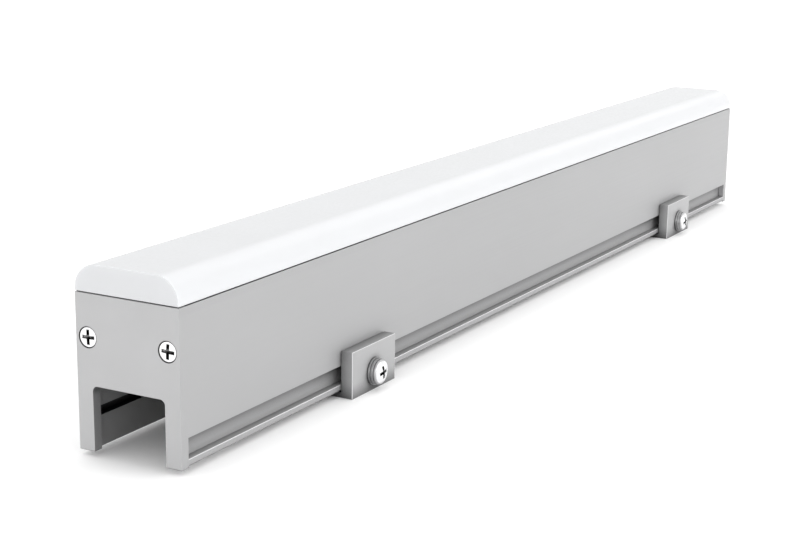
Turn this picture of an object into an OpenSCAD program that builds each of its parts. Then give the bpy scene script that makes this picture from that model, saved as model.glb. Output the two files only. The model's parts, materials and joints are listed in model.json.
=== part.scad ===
// Linear outdoor wall washer light on two sliding clamp brackets, in millimetres.
// X runs along the light, Y across it and Z up, with Z zero on the surface that it stands on.

/* [Housing] */
// Length over both end caps
body_l = 500; // [400:10:1500]
// Width of the housing
body_w = 40; // [38:1:56]
// Height of the open cable channel under the housing
channel_h = 22.6; // [20:0.2:30]
// Thickness of the plate between the channel and the driver bay
ceiling_t = 2.2; // [1.6:0.1:4]
// Height of the driver bay
bay_h = 17.2; // [16.2:0.2:30]
// Thickness of the shelf that carries the light board
shelf_t = 2; // [1.6:0.1:4]
// Height of the light chamber above the shelf
chamber_h = 7.5; // [6:0.1:14]
// Thickness of the side walls above the channel
wall_t = 1.8; // [1.5:0.1:3]
// Thickness of the legs on each side of the channel
leg_t = 4.2; // [4:0.1:6]
// Height of the lip under the clamp groove
lip_h = 2.8; // [1.8:0.1:4]
// Chamfer along the lip's lower edge
lip_chamfer = 1; // [0.4:0.1:1.4]
// Height of the clamp groove along each side
groove_h = 6.9; // [6.4:0.1:8.6]
// Depth of the clamp groove
groove_d = 2.9; // [2:0.1:3.1]
// Height of the slot along the inside of each leg
slot_h = 3.2; // [2:0.1:5]
// Depth of the slot along the inside of each leg
slot_d = 2.4; // [1.4:0.1:3]

/* [End caps] */
// Thickness of an end cap
cap_t = 3.5; // [3:0.1:6]
// How far a cap's legs stand inside the housing's legs
cap_step = 1.8; // [0.4:0.1:3]
// Corner radius at the top of the cap's notch
notch_r = 1.8; // [0.6:0.1:5]
// Head radius of a cap screw
cap_head_r = 3.15; // [2.9:0.05:3.6]
// Thread diameter of a cap screw
cap_screw_d = 3.5; // [2.9:0.1:4]
// Length of a cap screw
cap_screw_l = 13; // [9:1:25]
// Distance of a cap screw from the side of the housing
cap_screw_inset = 4.6; // [4.4:0.1:7]
// Distance of a cap screw below the shelf
cap_screw_drop = 4.7; // [4:0.1:6]

/* [Cover] */
// Height of the diffuser cover above its seal
cover_h = 9.1; // [8.6:0.1:20]
// Radius along the cover's long top edges
cover_r = 8.4; // [4:0.1:8.5]
// Wall thickness of the cover
cover_t = 2.2; // [1.4:0.1:3]
// Thickness of the seal under the cover
seam_t = 0.4; // [0.2:0.1:1]

/* [Light board] */
// Thickness of the light board
led_board_t = 1.6; // [1:0.1:2]
// Thickness of the thermal pad under the light board
thermal_pad_t = 0.5; // [0.2:0.1:1]
// Distance from one emitter to the next along a row
led_pitch = 20; // [8:1:40]
// Distance between the two rows of emitters
led_row_gap = 14; // [11:1:20]
// Side length of an emitter
led_side = 3; // [2:0.1:4]

/* [Driver] */
// Thickness of the driver board
driver_t = 1.6; // [1:0.1:2.4]
// Height of the driver board above the bay's floor
driver_lift = 3; // [2.4:0.1:4]
// Distance from a cable gland's axis to the end of the driver board
driver_gap = 40; // [30:1:60]
// Height of the capacitors
capacitor_h = 10; // [6:0.5:10.5]

/* [Cable glands and vent] */
// Distance of a cable gland from its end of the light
gland_inset = 60; // [40:1:70]
// Thread diameter of a cable gland
gland_d = 12; // [11:0.5:14]
// Diameter of the cable that the gland's seal takes
cable_d = 6.5; // [4:0.1:7]
// Shank diameter of the vent plug
vent_d = 8; // [6:0.5:10]

/* [Clamp brackets] */
// Distance of the near bracket's middle from the near end
near_bracket_inset = 107.5; // [30:0.5:160]
// Distance of the far bracket's middle from the far end
far_bracket_inset = 87; // [30:0.5:160]
// Length of a bracket along the light
bracket_l = 30; // [20:1:50]
// Thickness of a bracket's arms
arm_t = 4.5; // [3:0.1:7]
// Height of a bracket's arms above its base
arm_h = 15.2; // [11:0.1:20]
// Thickness of a bracket's base
base_t = 2; // [1.5:0.1:5]
// Gap between the housing and each arm
side_clear = 0.4; // [0.2:0.1:1]
// Thread diameter of the clamp screws
clamp_screw_d = 5; // [4:0.5:6]
// Diameter of the clamp screws' plain tips in the grooves
clamp_tip_d = 3.8; // [3:0.1:4.4]
// Head radius of the clamp screws
clamp_head_r = 4.5; // [4:0.1:5]
// Head height of the clamp screws
clamp_head_h = 2; // [1.8:0.1:3.6]
// Outer radius of the flat washers
flat_washer_r = 5; // [4.6:0.1:5.6]
// Thickness of the flat washers
flat_washer_t = 1; // [0.5:0.1:1.6]
// Outer radius of the spring washers
spring_washer_r = 4.7; // [4.2:0.1:5]
// Thickness of the spring washers
spring_washer_t = 1.2; // [0.8:0.1:1.8]
// Diameter of the wall screw holes in a bracket's base
wall_hole_d = 5.5; // [4:0.1:6.5]
// Distance between the two wall screw holes
wall_hole_gap = 18; // [12:1:19]

/* [Hidden] */
$fn = 64;
hex_sides = 6;

// Shared clearances: the overrun of a cut, a turned thread in its hole, a piece laid in its seat,
// and how far ribs and bosses reach into the wall that they grow from
over = 1;
thread_clear = 0.05;
seat_clear = 0.15;
root = 0.4;

// Heights of the housing's plates above its own bottom
floor_z = channel_h + ceiling_t;
shelf_z = floor_z + bay_h;
shelf_top_z = shelf_z + shelf_t;
body_h = shelf_top_z + chamber_h;
// Widths inside the housing, and the length between the caps
channel_w = body_w - 2 * leg_t;
inner_w = body_w - 2 * wall_t;
profile_l = body_l - 2 * cap_t;

// Inner slot: solid metal between it and the top of the clamp groove
slot_rise = 0.6;
slot_z = lip_h + groove_h + slot_rise;

// Ribs that hold the driver board by its edges
rib_t = 1;
rib_d = 1.5;
driver_z = floor_z + driver_lift;
driver_top_z = driver_z + driver_t;

// Screw ports for the cap screws
port_wall = 1.4;
port_slit_w = 1.6;
port_r = cap_screw_d / 2 + port_wall;
port_y = body_w / 2 - cap_screw_inset;
port_z = shelf_z - cap_screw_drop;

// End caps: drop of the notch's top below the channel's ceiling, the pad's rim, and the screw heads
notch_drop = 0.9;
cap_leg_w = leg_t + cap_step;
notch_w = body_w - 2 * cap_leg_w;
notch_h = channel_h - notch_drop;
end_pad_t = 1;
end_pad_rim = 0.6;
cap_head_sink = 0.35;
cap_recess_w = 0.9;
cap_recess_span = 4.8;
cap_recess_deep = 0.9;

// Cover: feet that hang inside the walls, and their hooks in the walls' catch grooves
foot_t = 1.4;
foot_gap = 1.4;
foot_root_h = 1.5;
foot_end_gap = 1;
hook_d = 0.5;
hook_h = 1;
gasket_inset = 0.5;
cover_z = body_h + seam_t;
foot_y = inner_w / 2 - seat_clear;
foot_z = shelf_top_z + thermal_pad_t + led_board_t + foot_gap;

// Light board, its emitters and its screws
board_edge_gap = 0.6;
board_end_gap = 3;
led_end_gap = 10;
led_h = 0.5;
lens_rise = 0.25;
lens_share = 0.4;
board_w = inner_w - 2 * board_edge_gap;
board_l = profile_l - 2 * board_end_gap;
board_z = shelf_top_z + thermal_pad_t;
board_top_z = board_z + led_board_t;
led_count = floor((board_l - 2 * led_end_gap) / led_pitch) + 1;
board_screw_r = 1.5;
board_head_r = 2.8;
board_head_h = 1.8;
board_screw_edge = 15;
board_screw_shares = [-1, -0.5, 0, 0.5, 1];
small_recess_w = 0.7;
small_recess_span = 2.8;
small_recess_deep = 1;

// Lead wires from the driver board up to the light board
wire_r = 0.8;
wire_gap = 2.8;
wire_hole_r = 4;
grommet_r = 2.6;
grommet_rim = 1;
grommet_rim_t = 0.8;
solder_r = 1.3;
solder_h = 0.5;
socket_share = 0.32;

// Breathing holes from the light chamber down to the driver bay, where the vent is
breather_r = 3.5;
breather_shares = [-0.08, 0.41];

// Driver board and what stands on it, placed as shares of its length
driver_l = body_l - 2 * (gland_inset + driver_gap);
driver_slack = 0.1;
driver_w = inner_w - 4 * seat_clear;
sheet_t = 0.4;
sheet_edge = 0.5;
terminal_w = 15;
terminal_d = 10;
terminal_h = 9;
terminal_edge = 1.5;
terminal_pole = 5;
terminal_hole_r = 1.6;
terminal_hole_deep = 7;
terminal_screw_deep = 3;
capacitor_r = 4;
capacitor_shares = [-0.25, -0.18];
capacitor_neck_t = 0.3;
capacitor_neck_h = 0.8;
capacitor_neck_z = 1;
inductor_r = 6;
inductor_core_r = 4.6;
inductor_h = 8;
inductor_plate_t = 1.4;
inductor_share = 0.05;
transistor_size = [10, 9, 4.4];
transistor_tab = [2, 7, 1.3];
transistor_share = 0.14;
chip_size = [4.9, 3.9, 1.5];
chip_share = 0.22;
chip_pin_w = 0.4;
chip_pin_l = 1;
chip_pin_t = 0.6;
chip_pin_pitch = 1.27;
chip_pins = 4;
fuse_r = 2.5;
fuse_l = 20;
fuse_share = -0.36;
fuse_lift = 0.6;
fuse_cap_l = 4;
fuse_cap_t = 0.3;
fuse_foot_w = 2;
socket_size = [8, 8, 6];

// Cable gland, counted down from the channel's ceiling
gland_r = gland_d / 2;
gland_hex_step = 2;
gland_flat = gland_r + gland_hex_step;
gland_hex_r = gland_flat / cos(180 / hex_sides);
gland_washer_t = 1;
gland_flange_h = 3.5;
gland_spigot_h = 6;
gland_seal_h = 6;
gland_seat_deep = 5;
gland_seal_wall = 1.4;
gland_bore_lip = 0.8;
gland_nut_gap = 0.5;
gland_nut_wall = 1.8;
gland_nut_round_h = 3;
gland_mouth_rim = 0.5;
gland_mouth_flare = 0.8;
locknut_h = 3;
locknut_step = 1;
thread_proud = 1;
cable_r = cable_d / 2;
seal_r = cable_r + gland_seal_wall;
gland_flange_z = -gland_washer_t - gland_flange_h;
gland_spigot_z = gland_flange_z - gland_spigot_h;
gland_seal_z = gland_spigot_z + gland_seat_deep - gland_seal_h;
gland_nut_z = gland_seal_z - gland_nut_wall;
gland_x = body_l / 2 - gland_inset;

// Vent plug, counted down from the channel's ceiling
vent_r = vent_d / 2;
vent_rim = 2.2;
vent_head_h = 3.5;
vent_seal_t = 0.8;
vent_pocket_deep = 1.6;
vent_bore_share = 0.4;
vent_pocket_share = 0.95;
vent_membrane_t = 0.3;
vent_port_w = 1.2;
vent_port_deep = 0.9;
vent_proud = 0.6;

// Clamp brackets and their screws
lip_clear = 0.2;
tip_clear = 0.1;
washer_clear = 0.15;
head_rim_h = 0.5;
clamp_recess_w = 1;
clamp_recess_span = 4;
clamp_recess_deep = 1.4;
split_w = 0.9;
split_turn = 20;
arm_y = body_w / 2 + side_clear;
arm_face_y = arm_y + arm_t;
clamp_screw_r = clamp_screw_d / 2;
clamp_tip_r = clamp_tip_d / 2;
clamp_screw_z = base_t + lip_h + lip_clear + clamp_tip_r;
near_bracket_x = near_bracket_inset - body_l / 2;
far_bracket_x = body_l / 2 - far_bracket_inset;

// Colours as the photograph shows them, and plain ones for what is inside
satin_silver = [0.76, 0.77, 0.78];
bright_steel = [0.88, 0.88, 0.9];
opal_white = [0.97, 0.98, 1];
seal_grey = [0.2, 0.2, 0.21];
seal_black = [0.1, 0.1, 0.1];
plastic_black = [0.14, 0.14, 0.15];
plastic_grey = [0.62, 0.64, 0.66];
board_white = [0.93, 0.94, 0.93];
board_green = [0.12, 0.38, 0.22];
emitter_yellow = [0.95, 0.85, 0.35];
terminal_green = [0.2, 0.55, 0.3];
foil_blue = [0.2, 0.3, 0.55];
sheet_amber = [0.8, 0.6, 0.25];
pad_pink = [0.8, 0.6, 0.62];

// Lifts the light onto the brackets' bases
module lifted() {
    translate([0, 0, base_t]) children();
}

// Turns a piece of the far end into its twin at the near end
module near_end() {
    rotate([0, 0, 180]) children();
}

// Extrudes an outline drawn across and up along the light, about its middle
module along_light(length) {
    translate([-length / 2, 0, 0]) rotate([90, 0, 90]) linear_extrude(height = length) children();
}

// Stands on the far cap's inner face, with local z pointing out of the light's far end
module on_far_cap() {
    translate([body_l / 2 - cap_t, 0, 0]) rotate([90, 0, 90]) children();
}

// A rectangle on each side of the middle line
module side_rects(inner_y, outer_y, low_z, high_z) {
    for (corner_y = [-outer_y, inner_y])
        translate([corner_y, low_z]) square([outer_y - inner_y, high_z - low_z]);
}

// A 45 degree corner piece on each side, which cuts a chamfer of a given size
module side_chamfers(corner_y, corner_z, size) {
    for (side = [-1, 1])
        translate([side * corner_y, corner_z]) rotate(45) square(size * sqrt(2), center = true);
}

// A flat-bottomed outline whose top corners are round
module round_top(width, height, radius) {
    translate([-width / 2, 0]) square([width, height - radius]);
    translate([radius - width / 2, 0]) square([width - 2 * radius, height]);
    intersection() {
        translate([-width / 2, 0]) square([width, height]);
        for (side = [-1, 1])
            translate([side * (width / 2 - radius), height - radius]) circle(r = radius);
    }
}

// A ring or tube that stands on z zero
module tube(outer_r, inner_r, height) {
    difference() {
        cylinder(r = outer_r, h = height);
        translate([0, 0, -over]) cylinder(r = inner_r, h = height + 2 * over);
    }
}

// A block centred on x and y that stands on z zero
module block(size) {
    translate([-size.x / 2, -size.y / 2, 0]) cube(size);
}

// Cross recess sunk from z zero
module cross_recess(span, width, deep) {
    for (turn = [0, 90])
        rotate([0, 0, turn]) translate([0, 0, -deep]) block([span, width, deep + over]);
    translate([0, 0, -deep]) cylinder(r = width, h = deep + over);
}

// Pan head with a straight rim and a domed top that stands on z zero
module pan_head(radius, height, rim_h) {
    dome_h = height - rim_h;
    dome_r = (radius * radius + dome_h * dome_h) / (2 * dome_h);
    intersection() {
        cylinder(r = radius, h = height);
        translate([0, 0, height - dome_r]) sphere(r = dome_r);
    }
}

// One of the two screw ports, with its slit towards the middle
module screw_port(side) {
    translate([side * port_y, port_z]) difference() {
        union() {
            circle(r = port_r);
            web_l = inner_w / 2 + root - port_y;
            translate([side > 0 ? 0 : -web_l, -port_r]) square([web_l, 2 * port_r]);
        }
        circle(r = cap_screw_d / 2 + thread_clear);
        slit_l = port_r + over;
        translate([side > 0 ? -slit_l : 0, -port_slit_w / 2]) square([slit_l, port_slit_w]);
    }
}

module profile_outline() {
    difference() {
        translate([-body_w / 2, 0]) square([body_w, body_h]);
        translate([-channel_w / 2, -over]) square([channel_w, channel_h + over]);
        translate([-inner_w / 2, floor_z]) square([inner_w, bay_h]);
        translate([-inner_w / 2, shelf_top_z]) square([inner_w, chamber_h + over]);
        side_rects(body_w / 2 - groove_d, body_w / 2 + over, lip_h, lip_h + groove_h);
        side_chamfers(body_w / 2, 0, lip_chamfer);
        side_rects(channel_w / 2 - over, channel_w / 2 + slot_d, slot_z, slot_z + slot_h);
        side_rects(inner_w / 2 - over, inner_w / 2 + hook_d,
                   foot_z - seat_clear, foot_z + hook_h + seat_clear);
    }
    side_rects(inner_w / 2 - rib_d, inner_w / 2 + root, driver_z - rib_t, driver_z);
    side_rects(inner_w / 2 - rib_d, inner_w / 2 + root,
               driver_top_z + driver_slack, driver_top_z + driver_slack + rib_t);
    for (side = [-1, 1]) screw_port(side);
}

module housing_profile() {
    color(satin_silver) lifted() difference() {
        along_light(profile_l) profile_outline();
        for (x = [-gland_x, gland_x])
            translate([x, 0, channel_h - over])
                cylinder(r = gland_r + thread_clear, h = ceiling_t + 2 * over);
        translate([0, 0, channel_h - over]) cylinder(r = vent_r + thread_clear, h = ceiling_t + 2 * over);
        translate([socket_share * driver_l, 0, shelf_z - over])
            cylinder(r = wire_hole_r, h = shelf_t + 2 * over);
        at_board_screws() translate([0, 0, shelf_z - over])
            cylinder(r = board_screw_r + thread_clear, h = shelf_t + 2 * over);
        at_breathers() translate([0, 0, shelf_z - over]) cylinder(r = breather_r, h = shelf_t + 2 * over);
    }
}

// Outline of the soft pad in a cap's inner face
module end_pad_outline() {
    pad_w = body_w - 2 * end_pad_rim;
    translate([-pad_w / 2, channel_h + end_pad_rim])
        square([pad_w, body_h - channel_h - 2 * end_pad_rim]);
}

module at_ports() {
    for (side = [-1, 1]) translate([side * port_y, port_z, 0]) children();
}

// The far end's cap; the near one is its twin
module end_cap() {
    color(satin_silver) lifted() on_far_cap() difference() {
        linear_extrude(height = cap_t) difference() {
            translate([-body_w / 2, 0]) square([body_w, body_h]);
            translate([0, -over]) round_top(notch_w, notch_h + over, notch_r);
        }
        translate([0, 0, -over]) linear_extrude(height = end_pad_t + over) end_pad_outline();
        at_ports() {
            translate([0, 0, -over]) cylinder(r = cap_screw_d / 2 + thread_clear, h = cap_t + 2 * over);
            sink_r = cap_head_r + cap_head_sink + thread_clear;
            translate([0, 0, cap_t - sink_r]) cylinder(r1 = 0, r2 = sink_r + over, h = sink_r + over);
        }
    }
}

module end_gasket() {
    color(seal_grey) lifted() on_far_cap() difference() {
        linear_extrude(height = end_pad_t) end_pad_outline();
        at_ports() translate([0, 0, -over])
            cylinder(r = cap_screw_d / 2 + thread_clear, h = end_pad_t + 2 * over);
    }
}

module cap_screws() {
    cone_h = cap_head_r - cap_screw_d / 2;
    color(bright_steel) lifted() on_far_cap() at_ports()
        translate([0, 0, cap_t - cap_head_sink]) difference() {
            union() {
                translate([0, 0, -cone_h]) cylinder(r1 = cap_screw_d / 2, r2 = cap_head_r, h = cone_h);
                translate([0, 0, -cap_screw_l]) cylinder(r = cap_screw_d / 2, h = cap_screw_l - cone_h);
            }
            cross_recess(cap_recess_span, cap_recess_w, cap_recess_deep);
        }
}

module diffuser_cover() {
    foot_l = profile_l - 2 * foot_end_gap;
    color(opal_white) lifted() {
        difference() {
            along_light(body_l) translate([0, cover_z]) round_top(body_w, cover_h, cover_r);
            along_light(body_l - 2 * cover_t) translate([0, cover_z - over])
                round_top(body_w - 2 * cover_t, cover_h + over - cover_t, cover_r - cover_t);
        }
        along_light(foot_l) {
            side_rects(foot_y - foot_t, foot_y, foot_z, cover_z + foot_root_h);
            side_rects(foot_y - foot_t, body_w / 2 - root, cover_z, cover_z + foot_root_h);
            side_rects(foot_y - foot_t, inner_w / 2 + hook_d - seat_clear, foot_z, foot_z + hook_h);
        }
    }
}

module cover_gasket() {
    outer_w = body_w - 2 * gasket_inset;
    outer_l = body_l - 2 * gasket_inset;
    inner_l = body_l - 2 * wall_t;
    color(seal_grey) lifted() translate([0, 0, body_h]) difference() {
        block([outer_l, outer_w, seam_t]);
        translate([0, 0, -over]) block([inner_l, inner_w, seam_t + 2 * over]);
    }
}

// Places of the screws along the light board
module at_board_screws() {
    reach = board_l / 2 - board_screw_edge;
    for (share = board_screw_shares) translate([share * reach, 0, 0]) children();
}

// Places of the breathing holes
module at_breathers() {
    for (share = breather_shares) translate([share * driver_l, 0, 0]) children();
}

// Places of the two lead wires
module at_wires() {
    for (side = [-1, 1]) translate([socket_share * driver_l, side * wire_gap / 2, 0]) children();
}

module led_board() {
    color(board_white) lifted() difference() {
        translate([0, 0, board_z]) block([board_l, board_w, led_board_t]);
        at_board_screws() translate([0, 0, board_z - over])
            cylinder(r = board_screw_r + seat_clear, h = led_board_t + 2 * over);
        at_wires() translate([0, 0, board_z - over])
            cylinder(r = wire_r + thread_clear, h = led_board_t + 2 * over);
        at_breathers() translate([0, 0, board_z - over]) cylinder(r = breather_r, h = led_board_t + 2 * over);
    }
}

module led_emitters() {
    first_x = -(led_count - 1) * led_pitch / 2;
    color(emitter_yellow) lifted()
        for (i = [0 : led_count - 1])
            for (side = [-1, 1])
                translate([first_x + i * led_pitch, side * led_row_gap / 2, board_top_z]) {
                    block([led_side, led_side, led_h]);
                    cylinder(r = led_side * lens_share, h = led_h + lens_rise);
                }
}

module led_board_screws() {
    screw_l = thermal_pad_t + led_board_t + shelf_t;
    color(bright_steel) lifted() at_board_screws() translate([0, 0, board_top_z]) difference() {
        union() {
            pan_head(board_head_r, board_head_h, head_rim_h);
            translate([0, 0, -screw_l]) cylinder(r = board_screw_r, h = screw_l + head_rim_h);
        }
        translate([0, 0, board_head_h]) cross_recess(small_recess_span, small_recess_w, small_recess_deep);
    }
}

module thermal_pad() {
    color(pad_pink) lifted() difference() {
        translate([0, 0, shelf_top_z]) block([board_l, board_w, thermal_pad_t]);
        at_board_screws() translate([0, 0, shelf_top_z - over])
            cylinder(r = board_screw_r + seat_clear, h = thermal_pad_t + 2 * over);
        translate([socket_share * driver_l, 0, shelf_top_z - over])
            cylinder(r = wire_hole_r, h = thermal_pad_t + 2 * over);
        at_breathers() translate([0, 0, shelf_top_z - over])
            cylinder(r = breather_r, h = thermal_pad_t + 2 * over);
    }
}

module wire_grommet() {
    color(seal_black) lifted() translate([socket_share * driver_l, 0, shelf_z]) {
        tube(wire_hole_r, grommet_r, shelf_t);
        translate([0, 0, -grommet_rim_t]) tube(wire_hole_r + grommet_rim, grommet_r, grommet_rim_t);
    }
}

module lead_wires() {
    socket_top_z = driver_top_z + socket_size.z;
    color("firebrick") lifted() at_wires() {
        translate([0, 0, socket_top_z]) cylinder(r = wire_r, h = board_top_z - socket_top_z);
        translate([0, 0, board_top_z]) cylinder(r1 = solder_r, r2 = wire_r, h = solder_h);
    }
}

module driver_board() {
    color(board_green) lifted() translate([0, 0, driver_z]) block([driver_l, driver_w, driver_t]);
}

module insulating_sheet() {
    sheet_w = inner_w - 2 * sheet_edge;
    color(sheet_amber) lifted() translate([0, 0, floor_z]) difference() {
        block([driver_l, sheet_w, sheet_t]);
        translate([0, 0, -over]) cylinder(r = vent_r + vent_rim, h = sheet_t + 2 * over);
    }
}

// Screw terminal at the far end of the driver board, its wire holes facing that end
module terminal_block() {
    terminal_x = driver_l / 2 - terminal_edge - terminal_d / 2;
    color(terminal_green) lifted() translate([terminal_x, 0, driver_top_z]) difference() {
        block([terminal_d, terminal_w, terminal_h]);
        for (pole = [-1, 0, 1]) {
            translate([terminal_d / 2 - terminal_hole_deep, pole * terminal_pole, terminal_h / 3])
                rotate([0, 90, 0]) cylinder(r = terminal_hole_r, h = terminal_hole_deep + over);
            translate([0, pole * terminal_pole, terminal_h - terminal_screw_deep])
                cylinder(r = terminal_hole_r, h = terminal_screw_deep + over);
        }
    }
}

// Places a part on the driver board at a share of its length
module on_driver(share) {
    lifted() translate([share * driver_l, 0, driver_top_z]) children();
}

module capacitors() {
    color(foil_blue) for (share = capacitor_shares) on_driver(share) difference() {
        cylinder(r = capacitor_r, h = capacitor_h);
        translate([0, 0, capacitor_neck_z])
            tube(capacitor_r + over, capacitor_r - capacitor_neck_t, capacitor_neck_h);
    }
}

module power_inductor() {
    color(plastic_black) on_driver(inductor_share) {
        cylinder(r = inductor_r, h = inductor_plate_t);
        cylinder(r = inductor_core_r, h = inductor_h);
        translate([0, 0, inductor_h - inductor_plate_t]) cylinder(r = inductor_r, h = inductor_plate_t);
    }
}

module switching_transistor() {
    color(plastic_black) on_driver(transistor_share) {
        block(transistor_size);
        translate([transistor_size.x / 2, 0, 0]) block(transistor_tab);
    }
}

module control_chip() {
    color(plastic_black) on_driver(chip_share) {
        block(chip_size);
        for (i = [0 : chip_pins - 1])
            translate([(i - (chip_pins - 1) / 2) * chip_pin_pitch, 0, 0])
                block([chip_pin_w, chip_size.y + 2 * chip_pin_l, chip_pin_t]);
    }
}

module board_fuse() {
    axis_z = fuse_lift + fuse_r + fuse_cap_t;
    color(plastic_grey) on_driver(fuse_share) {
        translate([-fuse_l / 2, 0, axis_z]) rotate([0, 90, 0]) cylinder(r = fuse_r, h = fuse_l);
        for (side = [-1, 1])
            translate([side * (fuse_l - fuse_cap_l) / 2, 0, 0]) {
                translate([-fuse_cap_l / 2, 0, axis_z]) rotate([0, 90, 0])
                    cylinder(r = fuse_r + fuse_cap_t, h = fuse_cap_l);
                block([fuse_cap_l, fuse_foot_w, axis_z]);
            }
    }
}

module output_socket() {
    color(board_white) on_driver(socket_share) block(socket_size);
}

// Stands under the channel's ceiling on a gland's axis at the far end
module at_far_gland() {
    lifted() translate([gland_x, 0, channel_h]) children();
}

module gland_body() {
    top_z = ceiling_t + locknut_h + thread_proud;
    color(plastic_grey) at_far_gland() difference() {
        union() {
            translate([0, 0, gland_spigot_z]) cylinder(r = gland_r, h = top_z - gland_spigot_z);
            translate([0, 0, gland_flange_z]) cylinder(r = gland_hex_r, h = gland_flange_h, $fn = hex_sides);
        }
        translate([0, 0, gland_spigot_z - over])
            cylinder(r = seal_r - gland_bore_lip, h = top_z - gland_spigot_z + 2 * over);
        translate([0, 0, gland_spigot_z - over]) cylinder(r = seal_r, h = gland_seat_deep + over);
    }
}

module gland_seal() {
    color(seal_black) at_far_gland() translate([0, 0, gland_seal_z]) tube(seal_r, cable_r, gland_seal_h);
}

module gland_nut() {
    top_z = gland_flange_z - gland_nut_gap;
    hex_z = gland_nut_z + gland_nut_round_h;
    mouth_r = cable_r + gland_mouth_rim;
    color(plastic_grey) at_far_gland() difference() {
        union() {
            translate([0, 0, hex_z]) cylinder(r = gland_hex_r, h = top_z - hex_z, $fn = hex_sides);
            translate([0, 0, gland_nut_z])
                cylinder(r1 = gland_flat - gland_mouth_flare, r2 = gland_flat, h = gland_nut_round_h);
        }
        translate([0, 0, gland_seal_z]) cylinder(r = gland_r + thread_clear, h = top_z - gland_seal_z + over);
        translate([0, 0, gland_nut_z - over]) cylinder(r = mouth_r, h = gland_nut_wall + 2 * over);
        translate([0, 0, gland_nut_z - over])
            cylinder(r1 = mouth_r + gland_mouth_flare + over, r2 = mouth_r, h = gland_mouth_flare + over);
    }
}

module gland_locknut() {
    color(plastic_grey) at_far_gland() translate([0, 0, ceiling_t]) difference() {
        cylinder(r = gland_hex_r + locknut_step, h = locknut_h, $fn = hex_sides);
        translate([0, 0, -over]) cylinder(r = gland_r + thread_clear, h = locknut_h + 2 * over);
    }
}

module gland_washer() {
    color(seal_black) at_far_gland() translate([0, 0, -gland_washer_t])
        tube(gland_flat, gland_r + thread_clear, gland_washer_t);
}

// Stands under the middle of the channel's ceiling
module at_vent() {
    lifted() translate([0, 0, channel_h]) children();
}

module vent_plug() {
    head_z = -vent_seal_t - vent_head_h;
    top_z = ceiling_t + vent_proud;
    color(plastic_grey) at_vent() difference() {
        union() {
            translate([0, 0, head_z]) cylinder(r = vent_r + vent_rim, h = vent_head_h);
            translate([0, 0, -vent_seal_t]) cylinder(r = vent_r, h = top_z + vent_seal_t);
        }
        translate([0, 0, head_z - over]) {
            cylinder(r = vent_r * vent_bore_share, h = top_z - head_z + 2 * over);
            cylinder(r = vent_r * vent_pocket_share, h = vent_pocket_deep + over);
        }
        for (turn = [0, 90])
            rotate([0, 0, turn]) translate([0, 0, head_z - over])
                block([2 * (vent_r + vent_rim + over), vent_port_w, vent_port_deep + over]);
    }
}

module vent_seal() {
    color(seal_black) at_vent() translate([0, 0, -vent_seal_t])
        tube(vent_r + vent_rim - gasket_inset, vent_r + thread_clear, vent_seal_t);
}

module vent_membrane() {
    pocket_top_z = vent_pocket_deep - vent_seal_t - vent_head_h;
    color(opal_white) at_vent() translate([0, 0, pocket_top_z - vent_membrane_t])
        cylinder(r = vent_r * vent_pocket_share, h = vent_membrane_t);
}

// Repeats what stands on one arm of a bracket on the other arm
module both_arms() {
    for (turn = [0, 180]) rotate([0, 0, turn]) children();
}

// Stands on an arm's outer face on the clamp screw's axis, with local z pointing away from the light
module on_arm() {
    both_arms() translate([0, arm_face_y, clamp_screw_z]) rotate([-90, 0, 0]) children();
}

module bracket() {
    color(satin_silver) difference() {
        along_light(bracket_l) {
            side_rects(arm_y, arm_face_y, 0, base_t + arm_h);
            translate([-arm_face_y, 0]) square([2 * arm_face_y, base_t]);
        }
        on_arm() translate([0, 0, -arm_t - over])
            cylinder(r = clamp_screw_r + thread_clear, h = arm_t + 2 * over);
        for (side = [-1, 1])
            translate([0, side * wall_hole_gap / 2, -over]) cylinder(d = wall_hole_d, h = base_t + 2 * over);
    }
}

module bracket_screws() {
    stack_t = flat_washer_t + spring_washer_t;
    shank_l = stack_t + arm_t;
    tip_l = side_clear + groove_d - tip_clear;
    color(bright_steel) on_arm() translate([0, 0, stack_t]) difference() {
        union() {
            pan_head(clamp_head_r, clamp_head_h, head_rim_h);
            translate([0, 0, -shank_l]) cylinder(r = clamp_screw_r, h = shank_l + head_rim_h);
            translate([0, 0, -shank_l - tip_l]) cylinder(r = clamp_tip_r, h = tip_l + over);
        }
        translate([0, 0, clamp_head_h]) cross_recess(clamp_recess_span, clamp_recess_w, clamp_recess_deep);
    }
}

module spring_washers() {
    color(bright_steel) on_arm() translate([0, 0, flat_washer_t]) difference() {
        tube(spring_washer_r, clamp_screw_r + washer_clear, spring_washer_t);
        translate([-spring_washer_r / 2, 0, spring_washer_t / 2]) rotate([split_turn, 0, 0])
            cube([spring_washer_r + over, split_w, spring_washer_t + 2 * over], center = true);
    }
}

module flat_washers() {
    color(bright_steel) on_arm() tube(flat_washer_r, clamp_screw_r + washer_clear, flat_washer_t);
}

module at_near_bracket() {
    translate([near_bracket_x, 0, 0]) children();
}

module at_far_bracket() {
    translate([far_bracket_x, 0, 0]) children();
}

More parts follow.
